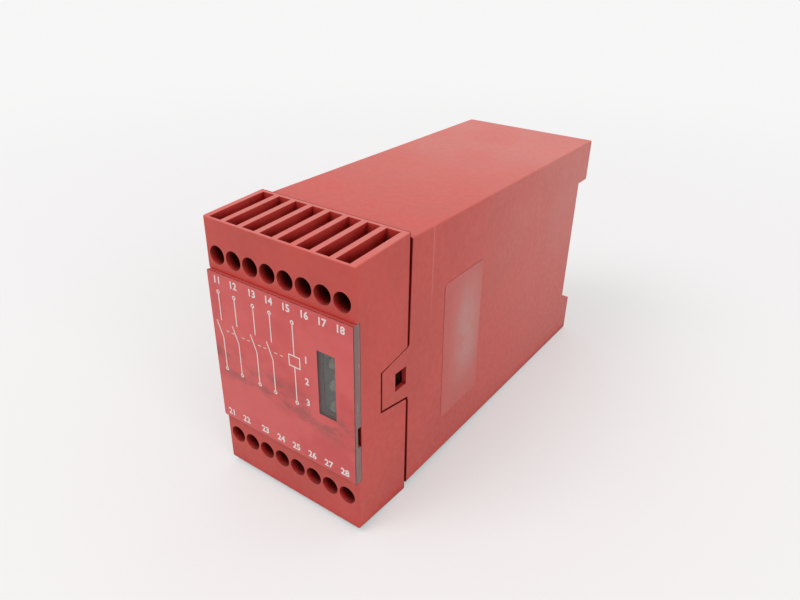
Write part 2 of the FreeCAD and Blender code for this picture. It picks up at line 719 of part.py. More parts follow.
def place_copy(piece, label, **where):
    """One more of a repeated piece, as a sub-part of its own."""
    copy = doc.addObject("Part::Compound", label)
    copy.Links = [piece]
    return finish(copy, label, **where)


def make_contact_bars():
    """Eight bent bars that carry the current from the clamps to the front board."""
    bars = []
    for way in range(int(SIZES["way_count"])):
        body = new_body(f"contact_bar_{way + 1}")
        side = new_sketch(body, f"{body.Name}_side", "YZ",
                          f"{FIRST_WAY} + pitch * {way} - bar_width / 2")
        bar_back = f"{BAR_FRONT} + bar_thick"
        tail_end = f"{FRONT_BOARD_BACK} + tail_pass"
        polygon(side, [(BAR_FRONT, "tail_level"), (tail_end, "tail_level"),
                       (tail_end, "tail_level + bar_thick"), (bar_back, "tail_level + bar_thick"),
                       (bar_back, "bar_top"), (BAR_FRONT, "bar_top")])
        pad(body, side, "bar_width")
        bars.append(body)
    row = doc.addObject("Part::Compound", "contact_bar_row")
    row.Links = bars
    return row


def make_front_board():
    """Board behind the terminals, with a hole for each contact bar's tail."""
    body = new_body("terminal_board")
    face = new_sketch(body, "front_board_face", "XZ", FRONT_BOARD)
    board_half, height_half = f"{CASE_INNER_HALF} - board_play", "opening_half - board_play"
    rectangle(face, f"0 - ({board_half})", board_half, f"0 - ({height_half})", height_half)
    pad(body, face, "board_thick", reverse=True)
    hole = new_sketch(body, "tail_hole", "XZ", FRONT_BOARD)
    hole_half = "bar_width / 2 + cell_play"
    rectangle(hole, f"{FIRST_WAY} - ({hole_half})", f"{FIRST_WAY} + {hole_half}",
              "tail_level - cell_play", "tail_level + bar_thick + cell_play")
    hole_cut = pocket(body, hole, "board_thick")
    repeat_ways(body, [hole_cut], both_rows=True)
    return finish(body, "terminal_board")


def make_side_board(label, sign):
    body = new_body(label)
    side = new_sketch(body, f"{label}_side", "YZ", f"{sign}({SIDE_BOARD_FACE})")
    rectangle(side, SIDE_BOARD_START, SIDE_BOARD_END, "0 - side_board_height / 2",
              "side_board_height / 2")
    pad(body, side, "board_thick", reverse=sign.startswith("0 -"))
    return finish(body, label)


def make_box(label, left, right, front, back, low, high, rounded=None):
    """A block between three pairs of levels, with its long edges rounded if asked."""
    body = new_body(label)
    outline = new_sketch(body, f"{label}_outline", "YZ", left)
    rectangle(outline, front, back, low, high)
    pad(body, outline, f"{right} - ({left})")
    if rounded:
        round_edges(body, rounded, lambda middle, along: parallel(along, AXIS_X))
    return body


def make_can(label, diameter, length, across, back, up, axis):
    """A round part lying along Y or standing along X."""
    can = doc.addObject("Part::Cylinder", label)
    bind(can, "Radius", f"{diameter} / 2")
    bind(can, "Height", length)
    turn = Rotation(AXIS_Z, AXIS_Y) if axis == "Y" else Rotation(AXIS_Z, AXIS_X)
    return finish(can, label, across=across, back=back, up=up, turn=turn)


def make_supply_parts():
    """Supply components on the left board."""
    face = f"0 - ({SIDE_BOARD_FACE})"
    make_can("smoothing_capacitor", "smoothing_diameter", "smoothing_length",
             f"{face} + smoothing_diameter / 2", "smoothing_start", "0", "Y")
    make_can("timing_capacitor", "timing_diameter", "timing_length", face,
             "smoothing_start + smoothing_length + timing_diameter",
             "0 - smoothing_diameter / 2 - timing_diameter", "X")
    finish(make_box("bridge_rectifier", face, f"{face} + rectifier_height", "smoothing_start",
                    "smoothing_start + rectifier_length", "smoothing_diameter",
                    "smoothing_diameter + rectifier_thick", "part_edge"), "bridge_rectifier")
    make_can("varistor", "varistor_diameter", "varistor_thick", f"{face} + varistor_diameter / 2",
             "smoothing_start", "0 - smoothing_diameter - varistor_diameter / 2", "Y")


def make_relays():
    """Two sealed relays side by side on the right board."""
    face = SIDE_BOARD_FACE
    for number, middle in ((1, "relay_spacing / 2"), (2, "0 - relay_spacing / 2")):
        label = f"relay_{number}"
        finish(make_box(label, f"{face} - relay_height", face, "relay_start",
                        "relay_start + relay_length", f"{middle} - relay_width / 2",
                        f"{middle} + relay_width / 2", "part_edge"), label)


def make_logic_chips():
    chips = []
    face = SIDE_BOARD_FACE
    for number in range(3):
        middle = f"chip_spacing * {number - 1}"
        chips.append(make_box(f"chip_{number + 1}", f"{face} - chip_thick", face,
                              "relay_start - chip_gap - chip_length", "relay_start - chip_gap",
                              f"{middle} - chip_width / 2", f"{middle} + chip_width / 2"))
    group = doc.addObject("Part::Compound", "chip_group")
    group.Links = chips
    return finish(group, "logic_chips")


def make_board_headers():
    """Right-angle headers that join the side boards to the front board."""
    headers = []
    face, header_front = SIDE_BOARD_FACE, f"{FRONT_BOARD_BACK} + front_board_gap"
    for name, left, right in (("left_header", f"0 - ({face})", f"header_size - ({face})"),
                              ("right_header", f"{face} - header_size", face)):
        headers.append(make_box(name, left, right, header_front, f"{SIDE_BOARD_START} + header_size",
                                "0 - header_length / 2", "header_length / 2"))
    group = doc.addObject("Part::Compound", "header_group")
    group.Links = headers
    return finish(group, "board_headers")


def light_group(label, make_one):
    """Three like solids, one at each light's level, in one node."""
    solids = []
    for number in range(3):
        body = new_body(f"{label}_{number + 1}")
        make_one(body)
        bind(body, "Placement.Base.x", "window_x")
        bind(body, "Placement.Base.z", f"led_level + led_spacing * {number - 1}")
        solids.append(body)
    group = doc.addObject("Part::Compound", f"{label}_group")
    group.Links = solids
    return finish(group, label)


def make_led(body):
    """A flanged lens with a blunt nose towards the window."""
    lens = new_sketch(body, f"{body.Name}_lens", "XZ", "led_tip")
    small_round(lens, "0", "0", "led_diameter", HEAD_SIDES)
    pad(body, lens, "led_length", reverse=True)
    tip = value_of("led_tip")
    base = body.Tip
    edges = [f"Edge{number}" for number, edge in enumerate(body.Shape.Edges, start=1)
             if near(edge.BoundBox.YMin, tip) and near(edge.BoundBox.YMax, tip)]
    nose = body.newObject("PartDesign::Chamfer", f"{body.Name}_nose")
    nose.Base = (base, edges)
    bind(nose, "Size", "led_bevel")
    doc.recompute()
    flange = new_sketch(body, f"{body.Name}_flange", "XZ", "led_tip + led_length - led_flange_height")
    small_round(flange, "0", "0", "led_flange", HEAD_SIDES)
    pad(body, flange, "led_flange_height", reverse=True)


def make_led_spacer(body):
    spacer = new_sketch(body, f"{body.Name}_outline", "XZ", "led_tip + led_length")
    small_round(spacer, "0", "0", "led_flange", HEAD_SIDES)
    pad(body, spacer, f"{FRONT_BOARD} - led_tip - led_length", reverse=True)


def write_parts():
    doc.recompute()
    for item in doc.Objects:
        if "Invalid" in item.State or "Error" in item.State:
            raise RuntimeError(f"{item.Name} failed: {item.State}")
    os.makedirs("parts", exist_ok=True)
    for item in sub_parts:
        if item.Shape.isNull() or not item.Shape.isValid() or not item.Shape.Solids:
            raise RuntimeError(f"{item.Label} has no valid shape")
        item.Shape.exportStep(os.path.join("parts", f"{item.Label}.step"))
        box = item.Shape.BoundBox
        print(f"{item.Label:24s} solids {len(item.Shape.Solids):2d}  volume {item.Shape.Volume:9.1f}"
              f"  x {box.XMin:7.2f} {box.XMax:7.2f}  y {box.YMin:7.2f} {box.YMax:7.2f}"
              f"  z {box.ZMin:6.2f} {box.ZMax:6.2f}")


upright, upside_down = Rotation(), Rotation(AXIS_Y, 180)
make_front_hood()
make_rear_case()
make_front_plate()
make_label_film()
make_side_label()
make_rail_latch()
make_latch_springs()
block, bars = make_terminal_block(), make_contact_bars()
screw, clamp = make_terminal_screw(), make_clamp()
for row_name, row_turn, side_sign in (("upper", upright, "0 + "), ("lower", upside_down, "0 - ")):
    place_copy(block, f"{row_name}_terminal_block", turn=row_turn)
    place_copy(bars, f"{row_name}_contact_bars", turn=row_turn)
    for way in range(int(SIZES["way_count"])):
        across, up = f"{FIRST_WAY} + pitch * {way}", f"{side_sign}screw_level"
        place_copy(screw, f"{row_name}_screw_{way + 1}", across=across, up=up)
        place_copy(clamp, f"{row_name}_clamp_{way + 1}", across=across, up=up)
make_front_board()
make_side_board("supply_board", "0 - ")
make_side_board("relay_board", "0 + ")
make_supply_parts()
make_relays()
make_logic_chips()
make_board_headers()
light_group("status_leds", make_led)
light_group("led_spacers", make_led_spacer)
write_parts()
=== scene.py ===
"""Looks of the safety relay: materials, generic print, latch springs, floor, light and camera."""
import json
import math
import bmesh
import bpy
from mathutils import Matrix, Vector


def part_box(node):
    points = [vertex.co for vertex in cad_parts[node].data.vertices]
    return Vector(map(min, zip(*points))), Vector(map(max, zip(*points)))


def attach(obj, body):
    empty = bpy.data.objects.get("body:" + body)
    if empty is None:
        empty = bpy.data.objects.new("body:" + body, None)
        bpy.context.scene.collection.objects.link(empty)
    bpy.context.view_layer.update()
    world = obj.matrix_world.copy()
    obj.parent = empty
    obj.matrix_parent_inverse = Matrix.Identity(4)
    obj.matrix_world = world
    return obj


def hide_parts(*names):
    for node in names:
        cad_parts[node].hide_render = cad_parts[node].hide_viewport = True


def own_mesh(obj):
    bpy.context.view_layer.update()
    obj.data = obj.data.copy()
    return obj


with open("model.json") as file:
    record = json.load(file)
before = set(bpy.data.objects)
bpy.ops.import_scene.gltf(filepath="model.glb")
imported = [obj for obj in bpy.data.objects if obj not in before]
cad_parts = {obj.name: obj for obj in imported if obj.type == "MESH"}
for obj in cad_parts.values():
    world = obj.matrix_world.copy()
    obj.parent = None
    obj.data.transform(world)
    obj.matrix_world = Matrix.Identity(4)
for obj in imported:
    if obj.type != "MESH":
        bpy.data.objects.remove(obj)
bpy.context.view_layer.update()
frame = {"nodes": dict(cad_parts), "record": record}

MM = 0.001
ENCLOSURE = "enclosure"
scene = bpy.context.scene


# ---------------------------------------------------------------- node helpers

class Shader:
    """A material being built: adds nodes and links them in one call each."""

    def __init__(self, name):
        self.material = bpy.data.materials.new(name)
        self.material.use_nodes = True
        self.tree = self.material.node_tree
        self.surface = self.tree.nodes["Principled BSDF"]
        self.coords = self.add("ShaderNodeTexCoord").outputs["Object"]

    def add(self, kind, inputs=None, **settings):
        node = self.tree.nodes.new(kind)
        for name, value in settings.items():
            setattr(node, name, value)
        for name, value in (inputs or {}).items():
            self.feed(node.inputs[name], value)
        return node

    def feed(self, socket, value):
        if isinstance(value, bpy.types.NodeSocket):
            self.tree.links.new(value, socket)
        else:
            socket.default_value = value

    def set(self, **values):
        """Feed the surface's own sockets; underscores stand for spaces."""
        for name, value in values.items():
            self.feed(self.surface.inputs[name.replace("_", " ")], value)
        return self

    def noise(self, size, detail=3.0, roughness=0.55, stretch=(1, 1, 1), offset=(0, 0, 0)):
        """Noise whose main features are about `size` metres across."""
        place = self.add("ShaderNodeMapping", {"Vector": self.coords, "Scale": stretch, "Location": offset})
        node = self.add("ShaderNodeTexNoise", {"Vector": place.outputs["Vector"], "Scale": 1 / size,
                                               "Detail": detail, "Roughness": roughness})
        return node.outputs["Fac"]

    def ramp(self, value, low, high, start=0.0, end=1.0):
        node = self.add("ShaderNodeMapRange", {"Value": value, "From Min": low, "From Max": high,
                                               "To Min": start, "To Max": end})
        node.interpolation_type = "SMOOTHSTEP"
        return node.outputs["Result"]

    def math(self, operation, one, other=0.0):
        node = self.add("ShaderNodeMath", operation=operation)
        self.feed(node.inputs[0], one)
        self.feed(node.inputs[1], other)
        return node.outputs["Value"]

    def mix(self, factor, one, other):
        node = self.add("ShaderNodeMix", data_type="RGBA")
        self.feed(node.inputs["Factor"], factor)
        self.feed(node.inputs["A"], one)
        self.feed(node.inputs["B"], other)
        return node.outputs["Result"]

    def tint(self, colour, other, where, share):
        """Turn a colour towards another, by this share of `where`."""
        return self.mix(self.math("MULTIPLY", where, share), colour, other)

    def bump(self, height, depth, strength=1.0, under=None):
        inputs = {"Height": height, "Distance": depth, "Strength": strength}
        if under is not None:
            inputs["Normal"] = under
        return self.add("ShaderNodeBump", inputs).outputs["Normal"]

    def facing(self, axis):
        """1 where the surface faces along the axis, 0 where it is square to it or beyond."""
        normal = self.add("ShaderNodeNewGeometry").outputs["Normal"]
        node = self.add("ShaderNodeVectorMath", operation="DOT_PRODUCT")
        self.feed(node.inputs[0], normal)
        node.inputs[1].default_value = axis
        return self.math("MAXIMUM", node.outputs["Value"], 0.0)

    def facing_along(self, axis):
        """Like facing, both along the axis and against it."""
        against = tuple(-share for share in axis)
        return self.math("ADD", self.facing(axis), self.facing(against))

    def edges(self, radius):
        """Near 1 on the outer and inner edges, from how far a rounded normal turns away."""
        rounded = self.add("ShaderNodeBevel", {"Radius": radius}, samples=4).outputs["Normal"]
        true = self.add("ShaderNodeNewGeometry").outputs["Normal"]
        node = self.add("ShaderNodeVectorMath", operation="DOT_PRODUCT")
        self.feed(node.inputs[0], rounded)
        self.feed(node.inputs[1], true)
        return self.ramp(node.outputs["Value"], 0.985, 0.80)

    def openness(self, reach):
        """1 in the open, down to 0 deep inside slots, holes and gaps."""
        return self.add("ShaderNodeAmbientOcclusion", {"Distance": reach}, samples=4).outputs["AO"]

    def position(self, axis):
        return self.add("ShaderNodeSeparateXYZ", {"Vector": self.coords}).outputs[axis]

    def away_from(self, axis, place):
        """How far the point lies from a place along one axis."""
        return self.math("ABSOLUTE", self.math("SUBTRACT", self.position(axis), place))

    def specks(self, spacing, radius, share):
        """Scattered dots: about this share of the cells hold one."""
        cells = self.add("ShaderNodeTexVoronoi", {"Vector": self.coords, "Scale": 1 / spacing})
        dot = self.ramp(cells.outputs["Distance"], radius / spacing, 0.5 * radius / spacing)
        pick = self.add("ShaderNodeSeparateColor", {"Color": cells.outputs["Color"]}).outputs["Red"]
        return self.math("MULTIPLY", dot, self.ramp(pick, 1 - share, 1 - 0.9 * share))


def dress(slot, material):
    """Give every node of one of the record's material slots its finish."""
    for part in frame["record"]["subparts"]:
        if part["material_slot"] == slot:
            for holder in frame["nodes"][part["node"]].material_slots:
                holder.material = material


# ---------------------------------------------------------------- materials

HOOD_RED = (0.610, 0.082, 0.066, 1)
CASE_RED = (0.595, 0.084, 0.068, 1)
FILM_RED = (0.715, 0.112, 0.107, 1)
DUST_AND_SHEEN = (0.770, 0.345, 0.305, 1)
GRIME = (0.090, 0.035, 0.030, 1)
# Painted shade: slots, holes and gaps turn deep red, then near black; the hidden pieces turn dim red; the
# seam's strips turn dark red.
PAINTED_SHADE_RED = (0.590, 0.013, 0.010, 1)
UNLIT = (0.030, 0.004, 0.003, 1)
DIM_RED = (0.140, 0.014, 0.010, 1)
SEAM_SHADE = (0.130, 0.001, 0.001, 1)

hood_box, case_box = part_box("front_hood"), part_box("rear_case")
HOOD_FRONT = hood_box[0][1]
MID_HEIGHT = (hood_box[0][2] + hood_box[1][2]) / 2

# The hood ends at SEAM, and the case starts a gap behind it, leaning back away from mid-height.
SEAM = hood_box[1][1]
SEAM_GAP = 0.5 * MM
SEAM_LEAN = 0.0096

# The case's side tab reaches in front of the seam. It narrows towards its front, with a gap round it.
TAB_FRONT = case_box[0][1]
TAB_FRONT_HALF, TAB_REAR_HALF = 5.3 * MM, 7.2 * MM
TAB_RISE = 0.3 * MM
TAB_GAP = 0.35 * MM

# Ejector pins' marks on the hood's right side, in millimetres behind its front and above its middle.
PIN_MARKS = ((4.1, 23.8), (12.3, -7.35))


def matte_red(name, base, dust_and_sheen_on_top, on_hood):
    """Finely textured moulded plastic, a little dusty on top with a painted sheen there, worn paler at its
    edges with a painted highlight, and painted with shade along its seams and in its slots, holes and gaps.
    """
    s = Shader(name)
    broad = s.noise(18 * MM, detail=5.0)
    fine = s.noise(1.6 * MM, detail=4.0)
    grain = s.noise(0.30 * MM, detail=2.0)
    darker = tuple(0.90 * channel for channel in base[:3]) + (1,)
    colour = s.mix(s.ramp(broad, 0.35, 0.68), base, darker)
    # Paler on top: partly dust, partly a painted sheen from the light above.
    top = s.math("MULTIPLY", s.facing((0, 0, 1)), s.ramp(broad, 0.30, 0.62, 0.45, 1.0))
    colour = s.tint(colour, DUST_AND_SHEEN, top, dust_and_sheen_on_top)
    if not on_hood:
        colour = s.tint(colour, DUST_AND_SHEEN, haze(s), 0.42)
        colour = s.tint(colour, DUST_AND_SHEEN, streak(s), 0.30)
    # Paler edges: partly wear, partly a painted highlight where the rounded edges catch the light.
    colour = s.tint(colour, DUST_AND_SHEEN, rubbed_edges(s), 0.32)
    colour = s.tint(colour, GRIME, s.specks(9 * MM, 0.28 * MM, 0.22), 0.8)
    # Painted shadow: dark strips along the seam and round the side tab's gap, with less gloss there.
    joint_shade = s.math("MAXIMUM", beside_seam(s, on_hood), round_tab(s, 0.16 * MM))
    colour = s.tint(colour, SEAM_SHADE, joint_shade, 0.85)
    openness = s.openness(6 * MM)
    if on_hood:
        openness = s.math("MAXIMUM", openness, behind_plate(s))
    # Painted shade: deep red, then near black, the deeper a point lies in slots, holes and gaps.
    colour = s.mix(s.ramp(openness, 0.90, 0.50), colour, PAINTED_SHADE_RED)
    colour = s.mix(s.ramp(openness, 0.62, 0.15), colour, UNLIT)
    s.set(Base_Color=colour, Roughness=s.ramp(fine, 0.3, 0.7, 0.46, 0.60), IOR=1.48)
    off_joint_shade = s.ramp(joint_shade, 0.0, 1.0, 1.0, 0.15)
    s.set(Specular_IOR_Level=s.math("MULTIPLY", s.ramp(openness, 0.2, 0.7, 0.1, 0.5), off_joint_shade))
    normal = s.bump(grain, 0.030 * MM, 0.55, s.bump(fine, 0.03 * MM, 0.35))
    for behind, up in PIN_MARKS if on_hood else ():
        mark = pin_mark(s, HOOD_FRONT + behind * MM, MID_HEIGHT + up * MM)
        normal = s.bump(mark, 0.05 * MM, 0.8, normal)
    s.set(Normal=normal)
    return s.material


def haze(s):
    """A cloud of dust on the case, thicker towards its back, and paler towards its top."""
    cloud = s.ramp(s.noise(19 * MM, detail=4.0), 0.25, 0.65, 0.65, 1.0)
    cloud = s.math("MULTIPLY", cloud, s.ramp(s.position("Y"), -45 * MM, 60 * MM))
    return s.math("MULTIPLY", cloud, s.ramp(s.position("Z"), 5 * MM, 60 * MM, 0.40, 1.0))


def streak(s):
    """A thin upright line of dust on the case's right side, not far behind the seam, fading downwards."""
    behind_seam, width = 9.6 * MM, 0.35 * MM
    line = s.ramp(s.away_from("Y", SEAM + behind_seam), width, 0.0)
    line = s.math("MULTIPLY", line, s.ramp(s.position("Z"), 40 * MM, 62 * MM))
    return s.math("MULTIPLY", line, s.facing((1, 0, 0)))


def rubbed_edges(s):
    """Up to 1 on edges worn pale by handling and painted with a highlight, and 0 near the seam and the side
    tab.
    """
    clear_of_seam = s.ramp(s.away_from("Y", SEAM), 1.0 * MM, 1.6 * MM)
    worn_and_highlit = s.math("MULTIPLY", s.edges(0.35 * MM), s.ramp(s.noise(3 * MM), 0.30, 0.65, 0.25, 1.0))
    worn_and_highlit = s.math("MULTIPLY", worn_and_highlit, clear_of_seam)
    return s.math("MULTIPLY", worn_and_highlit, s.math("SUBTRACT", 1.0, round_tab(s, 1.0 * MM)))


def beside_seam(s, on_hood):
    """1 in the narrow strips along the joint between hood and case, where a shadow is painted."""
    width = 0.24 * MM
    if on_hood:
        return s.ramp(s.position("Y"), SEAM - width, SEAM - 0.6 * width)
    away = s.away_from("Z", MID_HEIGHT)
    along = s.math("SUBTRACT", s.position("Y"), s.math("MULTIPLY", away, SEAM_LEAN))
    strip = s.ramp(along, SEAM + SEAM_GAP + width, SEAM + SEAM_GAP + 0.6 * width)
    past_tab = s.ramp(away, TAB_REAR_HALF + 0.5 * MM, TAB_REAR_HALF + 0.8 * MM)
    return s.math("MULTIPLY", strip, past_tab)


def round_tab(s, width):
    """1 in the strips of this width along the gap round the case's side tab, weaker along its upper line."""
    slope = (TAB_REAR_HALF - TAB_FRONT_HALF) / (SEAM + SEAM_GAP - TAB_FRONT)
    inward = s.math("SUBTRACT", s.position("Y"), TAB_FRONT)
    up = s.away_from("Z", MID_HEIGHT + TAB_RISE)
    beside = s.math("SUBTRACT", up, s.math("ADD", s.math("MULTIPLY", inward, slope), TAB_FRONT_HALF))
    outside = s.math("MAXIMUM", beside, s.math("MULTIPLY", inward, -1.0))
    off_gap = s.math("ABSOLUTE", s.math("SUBTRACT", outside, TAB_GAP / 2))
    strip = s.ramp(off_gap, TAB_GAP / 2 + width, TAB_GAP / 2 + 0.6 * width)
    strip = s.math("MULTIPLY", strip, s.ramp(s.position("Y"), SEAM + SEAM_GAP, SEAM))
    above, fade, upper_share = MID_HEIGHT + TAB_FRONT_HALF + TAB_GAP, 0.6 * MM, 0.35
    strip = s.math("MULTIPLY", strip, s.ramp(s.position("Z"), above, above + fade, 1.0, upper_share))
    return s.math("MULTIPLY", strip, s.facing_along((1, 0, 0)))


def pin_mark(s, along, up):
    """A shallow ring that an ejector pin has left on the hood's right side."""
    radius, edge = 1.25 * MM, 0.22 * MM
    middle = s.add("ShaderNodeCombineXYZ", {"X": 0.0, "Y": along, "Z": up}).outputs["Vector"]
    flat = s.add("ShaderNodeVectorMath", operation="MULTIPLY")
    s.feed(flat.inputs[0], s.coords)
    flat.inputs[1].default_value = (0, 1, 1)
    far = s.add("ShaderNodeVectorMath", operation="DISTANCE")
    s.feed(far.inputs[0], flat.outputs["Vector"])
    s.feed(far.inputs[1], middle)
    ring = s.ramp(s.math("ABSOLUTE", s.math("SUBTRACT", far.outputs["Value"], radius)), edge, 0.0)
    return s.math("MULTIPLY", ring, s.facing((1, 0, 0)))


def behind_plate(s):
    """0.4 where the clear plate covers the hood, which still gets light there, and 0 elsewhere."""
    low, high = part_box("front_plate")
    upright = s.math("MULTIPLY", s.ramp(s.position("Z"), low[2] - 0.1 * MM, low[2]),
                     s.ramp(s.position("Z"), high[2] + 0.1 * MM, high[2]))
    shallow = s.ramp(s.position("Y"), high[1] + 0.4 * MM, high[1] + 0.2 * MM)
    covered = s.math("MULTIPLY", shallow, s.ramp(s.position("X"), high[0] - 2.5 * MM, high[0] - 3.0 * MM))
    return s.math("MULTIPLY", s.math("MULTIPLY", upright, covered), 0.40)


def clear_plate():
    """Clear plastic, smooth in front, where its cut edges are rough and carry a painted reflection of the red
    around them.
    """
    s = Shader("clear_plate")
    scuffs = s.noise(1.2 * MM, detail=4.0, stretch=(1, 1, 0.12))
    side = s.facing_along((1, 0, 0))
    end = s.facing_along((0, 0, 1))
    cut = s.math("MINIMUM", s.math("ADD", side, end), 1.0)
    # Painted reflection: the cut edges are coloured with the red they show from around them.
    edge = s.mix(s.ramp(scuffs, 0.35, 0.75), (0.35, 0.175, 0.16, 1), (0.41, 0.24, 0.225, 1))
    edge = s.mix(end, edge, (0.50, 0.075, 0.065, 1))
    s.set(Base_Color=s.mix(cut, (0.58, 0.58, 0.565, 1), edge), IOR=1.5)
    passing = s.math("ADD", s.math("MULTIPLY", side, 0.55), end)
    s.set(Transmission_Weight=s.ramp(passing, 0.0, 1.0, 0.97, 0.0))
    s.set(Roughness=s.math("ADD", s.ramp(cut, 0.1, 0.9, 0.02, 0.22), s.ramp(scuffs, 0.45, 0.85, 0.0, 0.10)))
    s.set(Normal=s.bump(scuffs, 0.012 * MM, s.ramp(cut, 0.1, 0.9, 0.02, 0.35)))
    return s.material


def printed_film():
    """Satin film, thumbed grey below the middle."""
    s = Shader("printed_film")
    broad = s.noise(11 * MM, detail=4.0)
    cloud = s.noise(4.2 * MM, detail=5.0, roughness=0.62, stretch=(0.62, 1, 1.25), offset=(0.013, 0, 0.004))
    fine = s.noise(0.5 * MM, detail=3.0)
    colour = s.mix(s.ramp(broad, 0.35, 0.70), FILM_RED, (0.635, 0.082, 0.080, 1))
    smudge = s.math("MULTIPLY", s.ramp(cloud, 0.44, 0.66), smudge_place(s))
    colour = s.tint(colour, (0.26, 0.085, 0.078, 1), smudge, 0.62)
    colour = s.mix(s.specks(7 * MM, 0.22 * MM, 0.20), colour, GRIME)
    s.set(Base_Color=colour, Roughness=s.ramp(cloud, 0.35, 0.7, 0.34, 0.50), IOR=1.50)
    s.set(Normal=s.bump(fine, 0.010 * MM, 0.35))
    return s.material


def smudge_place(s):
    """Strongest across the film, a little below its middle."""
    middle = sum(corner[2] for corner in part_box("label_film")) / 2
    slant = s.math("MULTIPLY", s.position("X"), 0.12)
    away = s.math("SUBTRACT", s.math("ADD", s.position("Z"), slant), middle - 5.5 * MM)
    return s.ramp(s.math("ABSOLUTE", away), 7.0 * MM, 1.0 * MM)


def plain(name, colour, roughness, metallic=0.0, shaded=False):
    """A finish for the small pieces: mottled colour, uneven gloss, fine bump, and dimmer inside if shaded."""
    s = Shader(name)
    fine = s.noise(0.6 * MM, detail=4.0)
    darker = tuple(0.85 * channel for channel in colour) + (1,)
    mottled = s.mix(s.ramp(fine, 0.35, 0.68), colour + (1,), darker)
    if shaded:
        # Painted shade: towards a dim red where the surroundings close in.
        mottled = s.mix(s.ramp(s.openness(8 * MM), 1.0, 0.75), mottled, DIM_RED)
    s.set(Base_Color=mottled, Metallic=metallic)
    s.set(Roughness=s.ramp(fine, 0.3, 0.7, roughness - 0.06, roughness + 0.08))
    s.set(Normal=s.bump(fine, 0.02 * MM, 0.4))
    return s.material


def side_label_film():
    """Thin satin film over the case's red, with a paler grey patch painted as its sheen."""
    s = Shader("side_label")
    low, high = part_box("side_label")
    broad = s.noise(7 * MM, detail=4.0)
    fine = s.noise(0.8 * MM, detail=3.0)
    depth, height = high[1] - low[1], high[2] - low[2]
    # Painted reflection: a paler grey patch a little behind and above the label's middle.
    along = s.ramp(s.away_from("Y", low[1] + 0.62 * depth), 0.50 * depth, 0.05 * depth)
    up = s.ramp(s.away_from("Z", low[2] + 0.56 * height), 0.52 * height, 0.10 * height)
    sheen_patch = s.math("MULTIPLY", along, up)
    sheen_patch = s.math("MULTIPLY", sheen_patch, s.ramp(broad, 0.28, 0.60, 0.45, 1.0))
    colour = s.mix(s.ramp(broad, 0.35, 0.7), (0.58, 0.100, 0.084, 1), (0.54, 0.088, 0.074, 1))
    colour = s.tint(colour, (0.54, 0.255, 0.225, 1), sheen_patch, 0.80)
    border = s.math("MAXIMUM", s.ramp(s.position("Y"), low[1] + 0.45 * MM, low[1] + 0.15 * MM),
                    s.ramp(s.position("Z"), high[2] - 0.45 * MM, high[2] - 0.15 * MM))
    colour = s.tint(colour, (0.30, 0.040, 0.034, 1), border, 0.55)
    s.set(Base_Color=colour, Roughness=s.ramp(fine, 0.3, 0.7, 0.30, 0.42), IOR=1.5)
    s.set(Normal=s.bump(fine, 0.008 * MM, 0.3))
    return s.material


def led_lens():
    """Milky plastic of the unlit status lights."""
    s = Shader("led_lens")
    cloudy = s.noise(0.8 * MM)
    s.set(Base_Color=s.mix(s.ramp(cloudy, 0.3, 0.7), (0.80, 0.86, 0.78, 1), (0.66, 0.74, 0.65, 1)))
    s.set(Transmission_Weight=0.15, Roughness=0.12, IOR=1.5)
    return s.material


PLAIN_LOOKS = {
    "rail_latch": dict(colour=(0.36, 0.052, 0.042), roughness=0.5),
    "spring_steel": dict(colour=(0.60, 0.60, 0.61), roughness=0.3, metallic=1.0),
    "terminal_block": dict(colour=(0.20, 0.032, 0.026), roughness=0.55, shaded=True),
    "contact_bar": dict(colour=(0.75, 0.72, 0.64), roughness=0.32, metallic=1.0),
    "terminal_screw": dict(colour=(0.62, 0.62, 0.62), roughness=0.34, metallic=1.0),
    "clamp": dict(colour=(0.58, 0.58, 0.60), roughness=0.38, metallic=1.0),
    "board": dict(colour=(0.035, 0.155, 0.060), roughness=0.42, shaded=True),
    "capacitor_sleeve": dict(colour=(0.03, 0.04, 0.08), roughness=0.3),
    "chip_resin": dict(colour=(0.022, 0.022, 0.024), roughness=0.5),
    "varistor_coat": dict(colour=(0.05, 0.16, 0.46), roughness=0.3),
    "relay_cover": dict(colour=(0.72, 0.72, 0.69), roughness=0.42),
    "header": dict(colour=(0.022, 0.022, 0.024), roughness=0.5),
}

finishes = {slot: plain(slot, **look) for slot, look in PLAIN_LOOKS.items()}
finishes["red_hood"] = matte_red("red_hood", HOOD_RED, dust_and_sheen_on_top=0.32, on_hood=True)
finishes["red_case"] = matte_red("red_case", CASE_RED, dust_and_sheen_on_top=0.10, on_hood=False)
finishes["clear_plate"] = clear_plate()
finishes["side_label"] = side_label_film()
finishes["led_lens"] = led_lens()
for slot_name, finish in finishes.items():
    dress(slot_name, finish)


# ---------------------------------------------------------------- the film and its print

PRINT_THICK = 0.02 * MM
film_low, film_high = (Vector(corner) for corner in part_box("label_film"))
FILM_FRONT = film_low.y + PRINT_THICK
PRINT_DEPTH = FILM_FRONT - PRINT_THICK / 2


def white_ink():
    """Screen-printed ink, worn through here and there."""
    s = Shader("white_ink")
    wear = s.noise(0.9 * MM, detail=5.0, roughness=0.7)
    broad = s.noise(7 * MM)
    gone = s.math("MULTIPLY", s.ramp(wear, 0.50, 0.72), s.ramp(broad, 0.35, 0.6, 0.2, 1.0))
    s.set(Base_Color=s.tint((0.86, 0.82, 0.80, 1), FILM_RED, gone, 0.5), Roughness=0.45)
    s.set(Normal=s.bump(wear, 0.008 * MM, 0.3))
    return s.material


WHITE_INK = white_ink()


